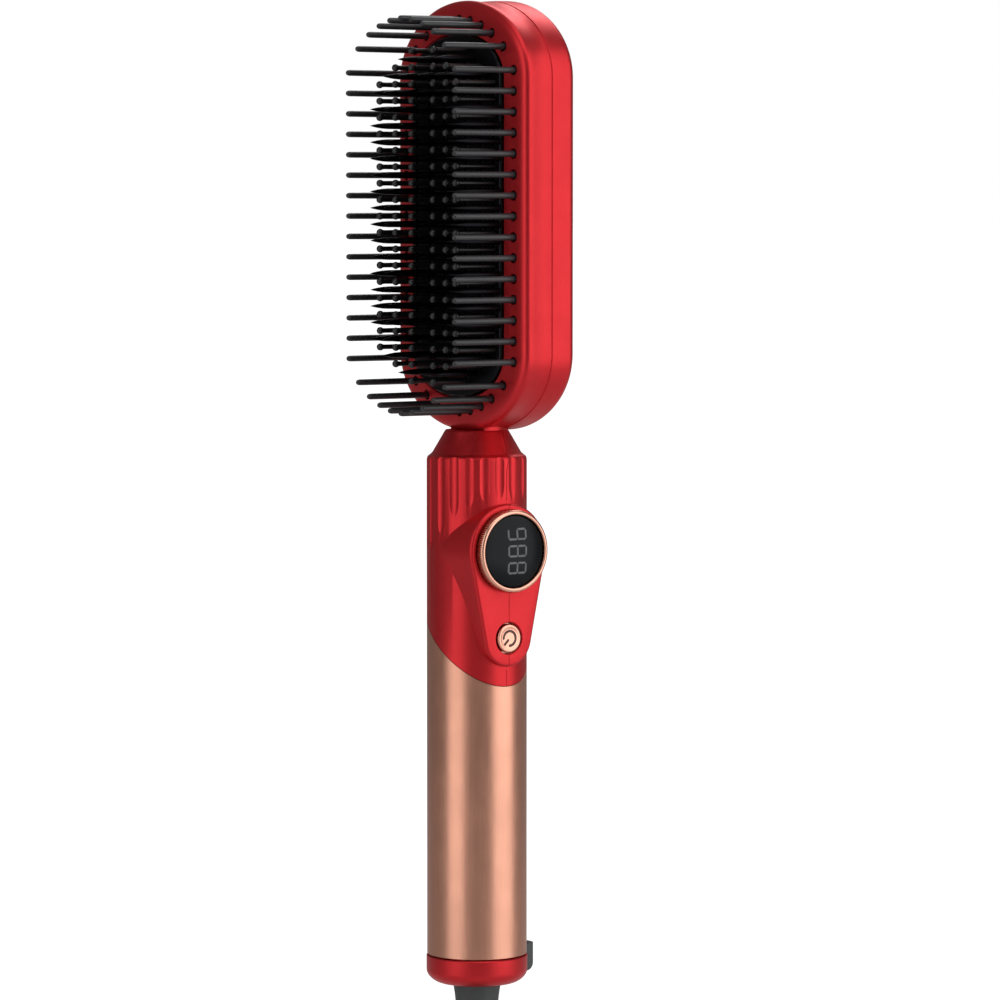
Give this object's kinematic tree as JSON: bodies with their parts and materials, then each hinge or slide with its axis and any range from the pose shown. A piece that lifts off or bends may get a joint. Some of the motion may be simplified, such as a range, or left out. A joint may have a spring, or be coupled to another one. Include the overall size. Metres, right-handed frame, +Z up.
{
  "type": "heated hair-straightening brush",
  "caption": "Heated straightening brush: oval bristle head with heated teeth, round handle with dial display and button, swivelling mains cord tied in a hank.",
  "frame": {"origin": "on the handle's axis at the middle of the grip, where a hand holds the brush up", "axes": "+Z up the handle to the head, -Y the way the bristles point, +X the side with the dial and the button"},
  "size_m": [0.0642, 0.0549, 0.5622],
  "materials": {
    "red_satin": "satin red paint",
    "rose_gold": "satin rose gold",
    "bristle_black": "semi-matt black",
    "heated_black": "black heat-proof coating",
    "dark_grey": "matt dark grey",
    "cord_grey": "matt cord jacket",
    "lens_black": "polished black",
    "ceramic": "fired ceramic",
    "mica": "mica sheet",
    "board_green": "solder-resist green",
    "brass": "bright brass",
    "steel": "plated steel",
    "white_plastic": "white plastic",
    "wire_red": "wire insulation"
  },
  "bodies": {
    "handle": {"bristle_insert": "bristle_black", "choke_coil": "brass", "contact_spring_live": "brass", "contact_spring_neutral": "brass", "control_board": "board_green", "display_holder": "bristle_black", "display_lens": "lens_black", "display_module": "bristle_black", "encoder_body": "bristle_black", "end_cap": "red_satin", "filter_capacitor": "mica", "front_housing": "red_satin", "guard_bristle_frame": "bristle_black", "handle_tube": "rose_gold", "hanging_hook": "dark_grey", "heater_left": "ceramic", "heater_right": "ceramic", "heater_wire_live": "wire_red", "heater_wire_neutral": "wire_red", "heating_plate": "heated_black", "housing_screw_left": "steel", "housing_screw_right": "steel", "insulating_sleeve": "white_plastic", "mains_wire_live": "wire_red", "mains_wire_neutral": "wire_red", "mica_strip_left": "mica", "mica_strip_right": "mica", "plate_screw_1": "steel", "plate_screw_2": "steel", "plate_screw_3": "steel", "plate_screw_4": "steel", "power_board": "board_green", "rear_housing": "red_satin", "ribbon_cable": "white_plastic", "sensor_wire": "white_plastic", "swivel_socket": "white_plastic", "tact_switch": "bristle_black", "thermal_fuse": "steel", "thermistor": "ceramic", "triac": "bristle_black"},
    "dial": {"knob_ring": "rose_gold", "encoder_rotor": "bristle_black"},
    "button": {"power_button": "rose_gold"},
    "cord": {"strain_relief_boot": "dark_grey", "slip_ring_live": "brass", "slip_ring_neutral": "brass", "cord_lead": "cord_grey", "cord_hank": "cord_grey", "cord_tie": "bristle_black", "cord_tail": "cord_grey", "plug_body": "dark_grey", "plug_pin_live": "brass", "plug_pin_neutral": "brass"}
  },
  "joints": [
    {"name": "dial_turn", "type": "hinge", "parent": "handle", "child": "dial", "pos_m": [0.0178, 0, 0.0809], "axis": [1, 0, 0], "continuous": true},
    {"name": "button_press", "type": "slide", "parent": "handle", "child": "button", "axis": [-1, 0, 0], "range_m": [0, 0.0008], "stiffness_N_per_m": 1500},
    {"name": "cord_swivel", "type": "hinge", "parent": "handle", "child": "cord", "pos_m": [0, 0, -0.0445], "axis": [0, 0, 1], "continuous": true}
  ]
}
